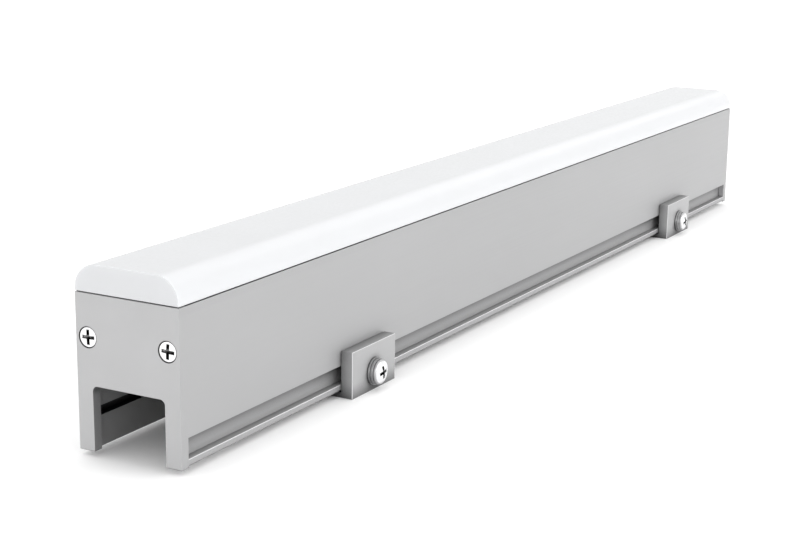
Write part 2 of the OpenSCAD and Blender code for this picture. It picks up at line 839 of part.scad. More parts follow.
housing_profile();
near_end() end_cap();  // near_end_cap
end_cap();  // far_end_cap
near_end() end_gasket();  // near_end_gasket
end_gasket();  // far_end_gasket
near_end() cap_screws();  // near_cap_screws
cap_screws();  // far_cap_screws
diffuser_cover();
cover_gasket();
led_board();
led_emitters();
led_board_screws();
thermal_pad();
wire_grommet();
lead_wires();
driver_board();
insulating_sheet();
near_end() terminal_block();  // near_terminal_block
terminal_block();  // far_terminal_block
capacitors();
power_inductor();
switching_transistor();
control_chip();
board_fuse();
output_socket();
near_end() gland_body();  // near_gland_body
near_end() gland_seal();  // near_gland_seal
near_end() gland_nut();  // near_gland_nut
near_end() gland_locknut();  // near_gland_locknut
near_end() gland_washer();  // near_gland_washer
gland_body();  // far_gland_body
gland_seal();  // far_gland_seal
gland_nut();  // far_gland_nut
gland_locknut();  // far_gland_locknut
gland_washer();  // far_gland_washer
vent_plug();
vent_seal();
vent_membrane();
at_near_bracket() bracket();  // near_bracket
at_near_bracket() bracket_screws();  // near_bracket_screws
at_near_bracket() spring_washers();  // near_spring_washers
at_near_bracket() flat_washers();  // near_flat_washers
at_far_bracket() bracket();  // far_bracket
at_far_bracket() bracket_screws();  // far_bracket_screws
at_far_bracket() spring_washers();  // far_spring_washers
at_far_bracket() flat_washers();  // far_flat_washers
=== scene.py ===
"""Looks of a straight outdoor wall washer light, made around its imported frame. Lengths are in metres."""
import json
import math

import bmesh
import bpy
from mathutils import Matrix, Quaternion, Vector


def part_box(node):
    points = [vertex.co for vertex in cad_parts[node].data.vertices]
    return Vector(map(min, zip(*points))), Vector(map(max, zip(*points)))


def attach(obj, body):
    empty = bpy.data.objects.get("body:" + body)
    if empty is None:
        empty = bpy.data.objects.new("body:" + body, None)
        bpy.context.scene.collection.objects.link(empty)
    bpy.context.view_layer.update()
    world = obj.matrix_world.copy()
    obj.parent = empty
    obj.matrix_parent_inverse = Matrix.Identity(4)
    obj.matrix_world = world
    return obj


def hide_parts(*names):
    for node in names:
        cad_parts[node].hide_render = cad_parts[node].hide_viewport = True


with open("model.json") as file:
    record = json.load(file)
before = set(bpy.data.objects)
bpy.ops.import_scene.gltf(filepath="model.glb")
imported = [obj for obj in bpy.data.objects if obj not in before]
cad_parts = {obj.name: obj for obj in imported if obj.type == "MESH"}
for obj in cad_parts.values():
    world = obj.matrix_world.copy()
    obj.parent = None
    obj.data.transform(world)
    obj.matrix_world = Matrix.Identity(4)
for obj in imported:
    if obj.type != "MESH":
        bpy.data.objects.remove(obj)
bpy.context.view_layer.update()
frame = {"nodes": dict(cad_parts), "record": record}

MM = 0.001
NODES = frame["nodes"]
BODY_OF = {node: body for body, nodes in frame["record"]["behaviour"]["bodies"].items() for node in nodes}
SLOT_OF = {part["node"]: part["material_slot"] for part in frame["record"]["subparts"]}
ENDS = ("near", "far")

# Camera: the place and the lens at which the light's corners line up with the photograph's
CAMERA_PLACE = Vector((-644.06, -318.36, 185.46)) * MM
CAMERA_HEADING = 29.452
CAMERA_PITCH = -14.018
CAMERA_ROLL = 0.655
CAMERA_LENS = 76.38
SENSOR_WIDTH = 36
VIEW_DEPTHS = (0.001, 24)

# Studio: an even dome of light with brighter patches, as a tent with softboxes behind its cloth gives
FLOOR_SIZE = 12
FLOOR_TONES = ((0.98, 0.98, 0.98), (1, 1, 1))
FLOOR_CLOUDS = (2, 2)
TENT_WHITE = (1, 1, 1, 1)
DOME_STRENGTH = 1.045
# Patches: heading and height of the middle, half-width of the full part and of the whole, all in degrees,
# and strength
PATCHES = (
    (90, 82, 3, 16, 2.4),
    (-75, 12, 10, 30, 3.5),
    (190, 12, 10, 30, 1.5),
    (5, 40, 16, 24, 0.68),
)


def link(obj):
    bpy.context.scene.collection.objects.link(obj)
    return obj


def object_from(mesh, name):
    """Turns a bmesh into an object of the scene."""
    data = bpy.data.meshes.new(name)
    mesh.to_mesh(data)
    mesh.free()
    return link(bpy.data.objects.new(name, data))


def make_camera():
    """The photograph's point of view."""
    heading, pitch, roll = (math.radians(turn) for turn in (CAMERA_HEADING, CAMERA_PITCH, CAMERA_ROLL))
    level = math.cos(pitch)
    forward = Vector((level * math.cos(heading), level * math.sin(heading), math.sin(pitch)))
    data = bpy.data.cameras.new("camera")
    data.lens = CAMERA_LENS
    data.sensor_width = SENSOR_WIDTH
    data.clip_start, data.clip_end = VIEW_DEPTHS
    camera = link(bpy.data.objects.new("camera", data))
    camera.location = CAMERA_PLACE
    camera.rotation_mode = "QUATERNION"
    camera.rotation_quaternion = forward.to_track_quat("-Z", "Y") @ Quaternion((0, 0, 1), roll)
    bpy.context.scene.camera = camera


# Where most of a noise's values lie
NOISE_LOW, NOISE_HIGH = 0.3, 0.7


class Graph:
    """A node tree, with short ways to add nodes and to link or set their sockets."""

    def __init__(self, tree):
        self.tree = tree

    def node(self, kind, operation=None, **inputs):
        made = self.tree.nodes.new("ShaderNode" + kind)
        if operation:
            made.operation = operation
        for socket, value in inputs.items():
            self.feed(made.inputs[socket.replace("_", " ")], value)
        return made

    def feed(self, socket, value):
        if isinstance(value, bpy.types.NodeSocket):
            self.tree.links.new(value, socket)
        else:
            socket.default_value = value


class Surface(Graph):
    """One material: a Principled shader whose constants sit on its own sockets, varied by textures."""

    def __init__(self, name, **constants):
        self.material = bpy.data.materials.new(name)
        self.material.use_nodes = True
        super().__init__(self.material.node_tree)
        self.shader = self.tree.nodes["Principled BSDF"]
        for socket, value in constants.items():
            self.shader.inputs[socket.replace("_", " ").title().replace("Ior", "IOR")].default_value = value
        self.place = self.node("TexCoord").outputs["Object"]

    def noise(self, scale, detail, stretch=(1, 1, 1)):
        """Noise in real lengths: scale is in features per metre, stretched by the given factors."""
        mapped = self.node("Mapping", Vector=self.place, Scale=[scale * s for s in stretch])
        return self.node("TexNoise", Vector=mapped.outputs[0], Scale=1, Detail=detail).outputs["Fac"]

    def spread(self, factor, low, high, start=NOISE_LOW, end=NOISE_HIGH):
        """Runs from low to high as the factor goes from start to end."""
        mapped = self.node("MapRange", Value=factor, From_Min=start, From_Max=end, To_Min=low, To_Max=high)
        return mapped.outputs[0]

    def tint(self, factor, low, high, start=NOISE_LOW, end=NOISE_HIGH):
        """Sets the base colour, from low to high as the factor goes from start to end."""
        ramp = self.node("ValToRGB", Fac=factor)
        for stop, place, colour in zip(ramp.color_ramp.elements, (start, end), (low, high)):
            stop.position = place
            stop.color = (*colour, 1)
        self.feed(self.shader.inputs["Base Color"], ramp.outputs["Color"])

    def paint_crevice_shade(self, reach, deepest, own_walls_only, start, end, from_above=0):
        """Paints shade into the base colour where walls closer than reach stand around it, down to the
        deepest share.

        The painted shade is full where no more than the share start of the sky around a place is open, and
        ends at the share end. With from_above the walls that overhang a place count for more than those
        below it, so more shade is painted under overhangs.
        """
        # Painted shade: the occlusion of nearby walls darkens the base colour, as in crevices, under
        # overhangs and between parts
        nearness = self.node("AmbientOcclusion", Distance=reach)
        nearness.only_local = own_walls_only
        if from_above:
            upright = self.node("VectorMath", "ADD")
            self.feed(upright.inputs[0], self.node("NewGeometry").outputs["Normal"])
            self.feed(upright.inputs[1], (0, 0, from_above))
            leaning = self.node("VectorMath", "NORMALIZE", Vector=upright.outputs[0])
            self.feed(nearness.inputs["Normal"], leaning.outputs[0])
        share = self.spread(nearness.outputs["AO"], deepest, 1, start, end)
        colour = self.shader.inputs["Base Color"].links[0].from_socket
        dimmed = self.node("VectorMath", "SCALE", Vector=colour, Scale=share)
        self.feed(self.shader.inputs["Base Color"], dimmed.outputs[0])

    def roughen(self, factor, low, high):
        self.feed(self.shader.inputs["Roughness"], self.spread(factor, low, high))

    def bump(self, factor, strength, depth):
        made = self.node("Bump", Height=factor, Strength=strength, Distance=depth)
        self.feed(self.shader.inputs["Normal"], made.outputs[0])


# Noises: features per metre, layers of detail, and stretch along x, y and z
EXTRUSION_LINES = (1400, 4, (0.01, 1, 1))
EXTRUSION_CLOUDS = (25, 3, (0.3, 1, 1))
BLASTED_GRAIN = (3500, 2)
BLASTED_CLOUDS = (60, 3)
TURNING_GRAIN = (2500, 3)
OPAL_CLOUDS = (40, 2)
OPAL_GRAIN = (900, 2)
OPAL_WAVES = (120, 2)
MOULDED_GRAIN = (2200, 3)
FABRIC_GRAIN = (6000, 3)
PHOSPHOR_GRAIN = (1500, 2)

# Bumps: strength and depth
METAL_BUMP = (0.12, 0.02 * MM)
TURNED_BUMP = (0.08, 0.01 * MM)
OPAL_BUMP = (0.05, 0.02 * MM)
PLASTIC_BUMP = (0.2, 0.03 * MM)

# Painted shade in crevices, under overhangs and against neighbouring parts: what the crevice shading takes
OVERHANG_LEAN = 0.97
HOUSING_CREVICES = {"reach": 3.6 * MM, "deepest": 0.03, "own_walls_only": True,
                    "start": 0.25, "end": 0.85, "from_above": OVERHANG_LEAN}
GROOVE_CREVICES = {"reach": 7 * MM, "deepest": 0.2, "own_walls_only": True,
                   "start": 0.3, "end": 0.9, "from_above": OVERHANG_LEAN}
# The brackets' painted shade counts the housing beside them, so the gap between arm and housing is painted
# dark
BRACKET_CREVICES = {"reach": 8 * MM, "deepest": 0.05, "own_walls_only": False, "start": 0.33, "end": 0.9}
BLASTED_CREVICES = {"reach": 1 * MM, "deepest": 0.05, "own_walls_only": False, "start": 0.2, "end": 0.8}
# The screws' painted shade reaches to the bracket and the floor, darkening the heads near them and in their
# recesses
HEAD_CREVICES = {"reach": 5 * MM, "deepest": 0.1, "own_walls_only": False, "start": 0.45, "end": 0.85}
WASHER_CREVICES = {"reach": 1.2 * MM, "deepest": 0.02, "own_walls_only": False, "start": 0.35, "end": 0.85}

# Blue of a metal's grey, as a share of its red and green
BLUE_SHARE = 1.01

# Satin anodised metals: darkest and lightest grey, then the painted crevice shade of the extruded ones
METAL_SHARE = 0.15
METAL_ROUGHNESS = (0.36, 0.42)
EXTRUDED = {
    "housing_aluminium": ((0.314, 0.329), HOUSING_CREVICES),
    # Painted light and shade: the groove backs take a lighter grey than the housing, with heavier painted
    # shade under their overhang
    "groove_aluminium": ((0.372, 0.388), GROOVE_CREVICES),
    # Painted shade: a darker copy of the housing's metal for the channel and the caps' notches, where little
    # light reaches
    "channel_aluminium": ((0.2, 0.215), HOUSING_CREVICES),
    "bracket_aluminium": ((0.342, 0.356), BRACKET_CREVICES),
}
BLASTED = {
    # Painted light: the caps' outer faces take a lighter grey than the housing, for the light that falls on
    # them
    "cap_aluminium": (0.4, 0.415),
    # Painted highlight: a lighter grey on rounded edges, where light catches them
    "worn_edge": (0.6, 0.64),
    # Painted shade: near black, for the slots, the seams under the cover, the screws' seats and rims and the
    # caps' feet, where shade falls
    "shaded_seat": (0.004, 0.008),
}

# Bright steels: darkest and lightest grey, smoothest and roughest, and painted crevice shade
TURNED = {
    "stainless_steel": ((0.86, 0.92), (0.1, 0.17), HEAD_CREVICES),
    "washer_steel": ((0.46, 0.52), (0.28, 0.36), WASHER_CREVICES),
}

# Opal plastics: darkest and lightest colour
OPAL_DEPTH = {"subsurface_weight": 0.3, "subsurface_scale": 3 * MM, "subsurface_radius": (1, 1, 1)}
OPAL_ROUGHNESS = (0.22, 0.27)
OPALS = {
    "opal_plastic": ((0.594, 0.602, 0.613), (0.605, 0.612, 0.623)),
    # Painted shade: the cover's end faces are a little darker than its skin, as less light falls on them
    "opal_end": ((0.574, 0.58, 0.591), (0.583, 0.59, 0.602)),
}

# Plastics, rubbers and ceramics: darkest and lightest colour, roughness and grain
ROUGHNESS_SWING = 0.05
MOULDED = {
    "silicone": ((0.035, 0.035, 0.037), (0.05, 0.05, 0.052), 0.6, MOULDED_GRAIN),
    "black_rubber": ((0.012, 0.012, 0.012), (0.022, 0.022, 0.022), 0.55, MOULDED_GRAIN),
    "thermal_silicone": ((0.55, 0.32, 0.33), (0.62, 0.38, 0.4), 0.7, MOULDED_GRAIN),
    "wire_jacket": ((0.38, 0.02, 0.015), (0.45, 0.03, 0.02), 0.4, MOULDED_GRAIN),
    "insulating_film": ((0.55, 0.3, 0.05), (0.6, 0.35, 0.07), 0.25, MOULDED_GRAIN),
    "terminal_plastic": ((0.02, 0.2, 0.06), (0.03, 0.24, 0.08), 0.45, MOULDED_GRAIN),
    "capacitor_sleeve": ((0.015, 0.025, 0.1), (0.02, 0.035, 0.13), 0.25, MOULDED_GRAIN),
    "ferrite": ((0.02, 0.02, 0.022), (0.035, 0.035, 0.037), 0.55, MOULDED_GRAIN),
    "component_plastic": ((0.01, 0.01, 0.01), (0.02, 0.02, 0.02), 0.4, MOULDED_GRAIN),
    "fuse_ceramic": ((0.7, 0.67, 0.6), (0.76, 0.73, 0.66), 0.3, MOULDED_GRAIN),
    "socket_plastic": ((0.75, 0.74, 0.66), (0.8, 0.79, 0.72), 0.4, MOULDED_GRAIN),
    "gland_nylon": ((0.2, 0.21, 0.22), (0.24, 0.25, 0.26), 0.45, MOULDED_GRAIN),
    "vent_fabric": ((0.8, 0.8, 0.8), (0.88, 0.88, 0.88), 0.8, FABRIC_GRAIN),
}

# Circuit boards: solder mask between the tracks and over them, and cells per metre along x, y and z
CELL_SCALE = (260, 420, 1)
TRACK_EDGE = (0.42, 0.46)
BOARD_ROUGHNESS = 0.4
BOARDS = {
    "light_board": ((0.8, 0.81, 0.8), (0.88, 0.89, 0.88)),
    "circuit_board": ((0.012, 0.11, 0.045), (0.02, 0.17, 0.07)),
}
PHOSPHOR_TONES = ((0.85, 0.68, 0.12), (0.95, 0.82, 0.3))
PHOSPHOR_ROUGHNESS = 0.35


def greys(low, high):
    """Two greys with a trace of blue."""
    return (low, low, low * BLUE_SHARE), (high, high, high * BLUE_SHARE)


def extruded_aluminium(name, tones, crevices):
    """Satin anodised metal with fine lines along the extrusion, and painted shade in its crevices."""
    surface = Surface(name, metallic=METAL_SHARE)
    lines = surface.noise(*EXTRUSION_LINES)
    surface.tint(surface.noise(*EXTRUSION_CLOUDS), *greys(*tones))
    surface.paint_crevice_shade(**crevices)
    surface.roughen(lines, *METAL_ROUGHNESS)
    surface.bump(lines, *METAL_BUMP)
    return surface.material


def blasted_aluminium(name, low, high):
    """Satin anodised metal with an even fine grain, and painted shade in its crevices and against its
    neighbours.
    """
    surface = Surface(name, metallic=METAL_SHARE)
    grain = surface.noise(*BLASTED_GRAIN)
    surface.tint(surface.noise(*BLASTED_CLOUDS), *greys(low, high))
    surface.paint_crevice_shade(**BLASTED_CREVICES)
    surface.roughen(grain, *METAL_ROUGHNESS)
    surface.bump(grain, *METAL_BUMP)
    return surface.material


def turned_steel(name, tones, roughness, crevices):
    """Steel with fine turning marks, and painted shade in its recesses and against its neighbours."""
    surface = Surface(name, metallic=1)
    grain = surface.noise(*TURNING_GRAIN)
    surface.tint(grain, *greys(*tones))
    surface.paint_crevice_shade(**crevices)
    surface.roughen(grain, *roughness)
    surface.bump(grain, *TURNED_BUMP)
    return surface.material


def opal_acrylic(name, low, high):
    """Milky plastic that carries a little light under its skin."""
    surface = Surface(name, **OPAL_DEPTH)
    surface.tint(surface.noise(*OPAL_CLOUDS), low, high)
    surface.roughen(surface.noise(*OPAL_GRAIN), *OPAL_ROUGHNESS)
    surface.bump(surface.noise(*OPAL_WAVES), *OPAL_BUMP)
    return surface.material


def moulded(name, low, high, roughness, grain):
    """Plastic, rubber or ceramic with a fine grain between two colours."""
    surface = Surface(name)
    spots = surface.noise(*grain)
    surface.tint(spots, low, high)
    surface.roughen(spots, roughness - ROUGHNESS_SWING, roughness + ROUGHNESS_SWING)
    surface.bump(spots, *PLASTIC_BUMP)
    return surface.material


def circuit_board(name, low, high):
    """Solder mask over tracks: bands of a lighter tone between square cells."""
    surface = Surface(name, roughness=BOARD_ROUGHNESS)
    mapped = surface.node("Mapping", Vector=surface.place, Scale=CELL_SCALE)
    cells = surface.node("TexVoronoi", Vector=mapped.outputs[0], Scale=1)
    cells.distance = "CHEBYCHEV"
    surface.tint(cells.outputs["Distance"], low, high, *TRACK_EDGE)
    surface.bump(cells.outputs["Distance"], *PLASTIC_BUMP)
    return surface.material


def emitter_face(name):
    """Yellow phosphor of an emitter."""
    surface = Surface(name, roughness=PHOSPHOR_ROUGHNESS)
    surface.tint(surface.noise(*PHOSPHOR_GRAIN), *PHOSPHOR_TONES)
    return surface.material


def make_materials():
    """Every material by its name."""
    made = {"emitter": emitter_face("emitter")}
    for maker, table in (
        (extruded_aluminium, EXTRUDED),
        (blasted_aluminium, BLASTED),
        (turned_steel, TURNED),
        (opal_acrylic, OPALS),
        (moulded, MOULDED),
        (circuit_board, BOARDS),
    ):
        made.update({name: maker(name, *values) for name, values in table.items()})
    return made


def stand_for(piece, node, *painted_shading):
    """Puts a piece in a node's place, on its body and in its finish, with more materials that paint light or
    shade on some faces.
    """
    for finish in (SLOT_OF[node], *painted_shading):
        piece.data.materials.append(MATERIALS[finish])
    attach(piece, BODY_OF[node])
    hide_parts(node)


# CAD nodes whose edges are rounded for their highlights, some rounds with a painted highlight or shade
ROUND_ANGLE = math.radians(30)
ROUND_STEPS = 2
ROUND_SHAPE = 0.7
FLAT_ANGLE = math.radians(0.5)
WELD_GAP = 0.001 * MM
ON_PLANE = 0.01 * MM
LIP_ROUND = 0.25 * MM
CAP_ROUND = 0.15 * MM
# The caps' feet are rounded to carry a thin painted contact shadow
FOOT_ROUND = 0.14 * MM
COVER_ROUND = 0.2 * MM
BRACKET_ROUND = 0.18 * MM
WASHER_ROUND = 0.12 * MM
# Lengths just past a form, which tell its faces and edges from the others
LIP_LEAST = 2 * MM  # height of the lip's rounded edge over the housing's foot, at least
GROOVE_DEPTH = 1 * MM  # depth of a groove's back, at least
GROOVE_REACH = 6 * MM  # height of a groove's back over the clamp screws, at most
SLOTS_HALF = 18.3 * MM  # half-width of the channel with its slots, at most
CHANNEL_HALF = 16 * MM  # half-width of the channel without them, at most
CHANNEL_HEIGHT = 23 * MM  # height of the channel and the notch, at most
NOTCH_HALF = 15 * MM  # half-width of a cap's notch, at most
SEAT_MARGIN = 1 * MM  # reach of a countersink past its screw's head, at most
BRACKET_STRAIGHT = 2 * MM  # length of a bracket's straight edges, at least
WASHER_STRAIGHT = 0.9 * MM  # length of the short edges that make up a washer's rim, at most


def is_sharp(edge):
    return len(edge.link_faces) == 2 and edge.calc_face_angle() > ROUND_ANGLE


def all_pass(item, test):
    """Whether every corner of an edge or a face passes a test of its place."""
    return all(test(v.co) for v in item.verts)


def smooth(data):
    """Shades a mesh as smooth, apart from its sharp edges."""
    data.shade_smooth()
    data.set_sharp_from_angle(angle=ROUND_ANGLE)


def rounded_copy(node, rounds, painted_shading=(), curved=False):
    """A copy of a CAD node that stands for it, with sharp edges rounded and some faces in materials that
    paint light or shade.

    rounds are of (width, material that paints the round or None, edge test), and the painted faces of
    (material, face test).
    """
    mesh = bmesh.new()
    mesh.from_mesh(NODES[node].data)
    bmesh.ops.remove_doubles(mesh, verts=mesh.verts, dist=WELD_GAP)
    bmesh.ops.dissolve_limit(mesh, angle_limit=FLAT_ANGLE, verts=mesh.verts, edges=mesh.edges)
    slots = [SLOT_OF[node]] + [finish for finish, _ in painted_shading]
    for finish, test in painted_shading:
        for face in filter(test, mesh.faces):
            face.material_index = slots.index(finish)
    for width, finish, test in rounds:
        if finish and finish not in slots:
            slots.append(finish)
        edges = [edge for edge in mesh.edges if is_sharp(edge) and test(edge)]
        bmesh.ops.bevel(mesh, geom=edges, offset=width, segments=ROUND_STEPS, profile=ROUND_SHAPE,
                        affect="EDGES", clamp_overlap=False, material=slots.index(finish) if finish else -1)
    piece = object_from(mesh, node + "_rounded")
    if curved:
        smooth(piece.data)
        piece.modifiers.new("flat faces stay flat", "WEIGHTED_NORMAL").keep_sharp = True
    else:
        piece.data.shade_flat()
    stand_for(piece, node, *slots[1:])


def round_housing():
    """Rounds the lip's outer edge below each groove, with a painted highlight on the round. Paints shade
    into the channel, its slots and the seam under the cover, and paints the groove backs a lighter grey with
    heavier shade.
    """
    low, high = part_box("housing_profile")
    groove_z = sum(corner.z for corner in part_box("near_bracket_screws")) / 2

    def at_lip(p):
        return abs(p.y) > high.y - ON_PLANE and low.z + LIP_LEAST < p.z < groove_z

    def lip_edge(edge):
        lengthwise = abs(edge.verts[0].co.x - edge.verts[1].co.x) > (high.x - low.x) / 2
        return lengthwise and all_pass(edge, at_lip)

    def in_groove(p):
        return abs(p.y) < high.y - GROOVE_DEPTH and p.z < groove_z + GROOVE_REACH

    def groove_back(face):
        outward = face.normal.y * face.calc_center_median().y > 0
        return outward and all_pass(face, in_groove)

    def in_channel(face):
        inward = face.normal.y * face.calc_center_median().y <= 0
        return inward and all_pass(face, lambda p: abs(p.y) < SLOTS_HALF and p.z < low.z + CHANNEL_HEIGHT)

    def slot_or_seam(face):
        in_slot = in_channel(face) and not all_pass(face, lambda p: abs(p.y) <= CHANNEL_HALF)
        return in_slot or all_pass(face, lambda p: p.z > high.z - ON_PLANE)

    # Painted highlight on the lip's rounded edge; painted shade in the channel, the slots, the seam and the
    # groove backs
    rounded_copy("housing_profile", [(LIP_ROUND, "worn_edge", lip_edge)], [
        ("channel_aluminium", in_channel),
        ("groove_aluminium", groove_back),
        ("shaded_seat", slot_or_seam),
    ])


def round_cap(end):
    """Rounds the edges of a cap's outer face and feet, paints shade on its feet, notch, seats and top, and
    gives its sides the housing's grey.
    """
    low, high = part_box(end + "_end_cap")
    outer_x = max(abs(low.x), abs(high.x))
    screw_low, screw_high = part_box(end + "_cap_screws")
    head_r = (screw_high.z - screw_low.z) / 2
    screw_z = (screw_high.z + screw_low.z) / 2
    screw_y = screw_high.y - head_r

    def in_seat(p):
        return math.hypot(abs(p.y) - screw_y, p.z - screw_z) < head_r + SEAT_MARGIN

    def at_foot(edge):
        return all_pass(edge, lambda p: p.z < low.z + ON_PLANE)

    def on_face(edge):
        outer = all_pass(edge, lambda p: abs(p.x) > outer_x - ON_PLANE)
        return outer and not all_pass(edge, in_seat) and not at_foot(edge)

    def seat_or_top(face):
        return all_pass(face, in_seat) or all_pass(face, lambda p: p.z > high.z - ON_PLANE)

    def long_side(face):
        return all_pass(face, lambda p: abs(p.y) > high.y - ON_PLANE)

    def in_notch(face):
        return all_pass(face, lambda p: abs(p.y) < NOTCH_HALF and p.z < low.z + CHANNEL_HEIGHT)

    # Painted shade on the feet, seats, top and notch; the sides in the housing's grey leave only the outer
    # face painted lighter
    rounded_copy(end + "_end_cap", [(CAP_ROUND, None, on_face), (FOOT_ROUND, "shaded_seat", at_foot)], [
        ("shaded_seat", seat_or_top),
        ("housing_aluminium", long_side),
        ("channel_aluminium", in_notch),
    ])


def round_cover():
    """Rounds the rims of the cover's two ends, whose faces take a painted shade a little dimmer than its
    skin.
    """
    end_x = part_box("diffuser_cover")[1].x

    def at_end(item):
        return all_pass(item, lambda p: abs(p.x) > end_x - ON_PLANE)

    rounded_copy("diffuser_cover", [(COVER_ROUND, None, at_end)], [("opal_end", at_end)], curved=True)


def round_bracket(end):
    """Rounds the outer edges of a bracket's arms with a painted highlight, and leaves the screw holes and
    the inner corners sharp.
    """
    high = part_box(end + "_bracket")[1]

    def on_face(edge):
        straight = edge.calc_length() > BRACKET_STRAIGHT
        return straight and all_pass(edge, lambda p: abs(p.y) > high.y - ON_PLANE)

    rounded_copy(end + "_bracket", [(BRACKET_ROUND, "worn_edge", on_face)])


def round_washers(end):
    """Rounds the rims of a bracket's washers, and leaves the spring washers' splits sharp."""
    def on_rim(edge):
        return edge.calc_length() < WASHER_STRAIGHT

    for node in (end + "_flat_washers", end + "_spring_washers"):
        rounded_copy(node, [(WASHER_ROUND, None, on_rim)], curved=True)


# Screws: turned bodies with a thread, and a tapered cross recess cut into the head
COLUMNS = 64
RINGS_PER_TURN = 6
DOME_STEPS = 10
SHOULDER_STEPS = 8
POLE_ANGLE = 89.5
NECK = 0.15 * MM
# Thread: depth as a share of the pitch, and how steeply its flanks run
THREAD_SHARE = 0.48
THREAD_STEEPNESS = 3

# Clamp screws: head, shank and tip
RIM_H = 0.5 * MM
RIM_EDGE = 0.12 * MM
SHOULDER_R = 0.7 * MM
RECESS_SINK = 0.05 * MM
CLAMP_SHANK_R = 2.5 * MM
CLAMP_PITCH = 0.8 * MM
CLAMP_TIP_R = 1.9 * MM
TIP_EDGE = 0.4 * MM
# From the light's middle plane to the tips' ends, just off the grooves' backs, and to the arms' inner faces
TIP_END = 17.2 * MM
ARM_INNER = 20.4 * MM

# Cap screws: how far the head's top lies below the cap's face, its crown, where its rim starts as a share of
# its radius, and the shank and tip
COUNTERSUNK_SINK = 0.12 * MM
COUNTERSUNK_RISE = 0.12 * MM
RIM_SHARE = 0.99
CAP_SHANK_R = 1.75 * MM
CAP_PITCH = 0.6 * MM
CAP_SCREW_TIP = 0.8 * MM
CAP_SCREW_TIP_SHARE = 0.35

# Recesses: span and width of the cross's arms, and depth
CLAMP_RECESS = (4.9 * MM, 1.15 * MM, 1.4 * MM)
CAP_RECESS = (5 * MM, 1.15 * MM, 1.4 * MM)
# Turns of the recesses in degrees: clamp screws back and front, cap screws front and back
CLAMP_TILTS = {"near": (40, 10), "far": (65, 17)}
CAP_TILTS = {"near": (-3, 1), "far": (30, 71)}


def turned_mesh(profile, pitch, thread_from, thread_to, rim_r):
    """Turns a profile of (radius, height) from the top down, and cuts a helical thread between two heights.

    Faces that lie wholly beyond rim_r take the second material.
    """
    mesh = bmesh.new()
    rings = []
    for radius, height in profile:
        ring = []
        for column in range(COLUMNS):
            turn = 2 * math.pi * column / COLUMNS
            r = radius
            if thread_to <= height <= thread_from:
                phase = (height / pitch - column / COLUMNS) % 1
                r -= THREAD_SHARE * pitch * min(1, THREAD_STEEPNESS * abs(phase - 0.5))
            ring.append(mesh.verts.new((r * math.cos(turn), r * math.sin(turn), height)))
        rings.append(ring)
    radii = [radius for radius, _ in profile]
    for upper, lower, upper_r, lower_r in zip(rings, rings[1:], radii, radii[1:]):
        for column in range(COLUMNS):
            after = (column + 1) % COLUMNS
            face = mesh.faces.new((upper[column], lower[column], lower[after], upper[after]))
            face.material_index = int(min(upper_r, lower_r) > rim_r)
    close_ends(mesh, rings)
    return object_from(mesh, "screw")


def close_ends(mesh, rings):
    """Closes a tube of rings at both ends, and turns its faces outwards."""
    mesh.faces.new(rings[0])
    mesh.faces.new(reversed(rings[-1]))
    bmesh.ops.recalc_face_normals(mesh, faces=mesh.faces)


def cross_outline(span, width, height):
    """The twelve corners of a cross with arms of a given span and width."""
    a, b = span / 2, width / 2
    quarter = [(a, -b), (a, b), (b, b)]
    corners = []
    for turn in range(4):
        c, s = math.cos(turn * math.pi / 2), math.sin(turn * math.pi / 2)
        corners += [(c * x - s * y, s * x + c * y, height) for x, y in quarter]
    return corners


# Levels of a recess: shares of the span and of the width, and how deep as a share of the depth
RECESS_LEVELS = ((1, 1, 0), (0.85, 0.95, 0.5), (0.35, 0.6, 1))
RECESS_OVER = 0.3 * MM
# Most width of the arms as a share of their span
ARM_MOST = 0.9


def cross_cutter(recess, top):
    """A cross recess whose arms taper inwards as they go down, from just over the head's top."""
    span, width, deep = recess
    mesh = bmesh.new()
    rings = []
    for span_share, width_share, down in ((1, 1, -RECESS_OVER / deep), *RECESS_LEVELS):
        level_span = span * span_share
        level_width = min(width * width_share, level_span * ARM_MOST)
        points = cross_outline(level_span, level_width, top - down * deep)
        rings.append([mesh.verts.new(p) for p in points])
    for upper, lower in zip(rings, rings[1:]):
        for i in range(len(upper)):
            j = (i + 1) % len(upper)
            mesh.faces.new((upper[i], lower[i], lower[j], upper[j]))
    close_ends(mesh, rings)
    return object_from(mesh, "cross_cutter")


def cut(piece, cutter):
    """Cuts one mesh from another, and removes the cutter."""
    modifier = piece.modifiers.new("cut", "BOOLEAN")
    modifier.operation = "DIFFERENCE"
    modifier.solver = "EXACT"
    modifier.object = cutter
    bpy.context.view_layer.update()
    graph = bpy.context.evaluated_depsgraph_get()
    data = bpy.data.meshes.new_from_object(piece.evaluated_get(graph))
    piece.modifiers.clear()
    piece.data = data
    bpy.data.objects.remove(cutter)


def arc(centre_r, centre_z, radius, start, end, steps):
    """Points of (radius, height) along an arc, with angles in degrees above the horizontal."""
    angles = [math.radians(start + (end - start) * i / steps) for i in range(steps + 1)]
    return [(centre_r + radius * math.cos(a), centre_z + radius * math.sin(a)) for a in angles]


def thread_rows(radius, top, bottom, pitch):
    """Points of (radius, height) down a threaded length."""
    rows = max(2, round((top - bottom) / pitch * RINGS_PER_TURN))
    return [(radius, top - (top - bottom) * i / rows) for i in range(rows + 1)]


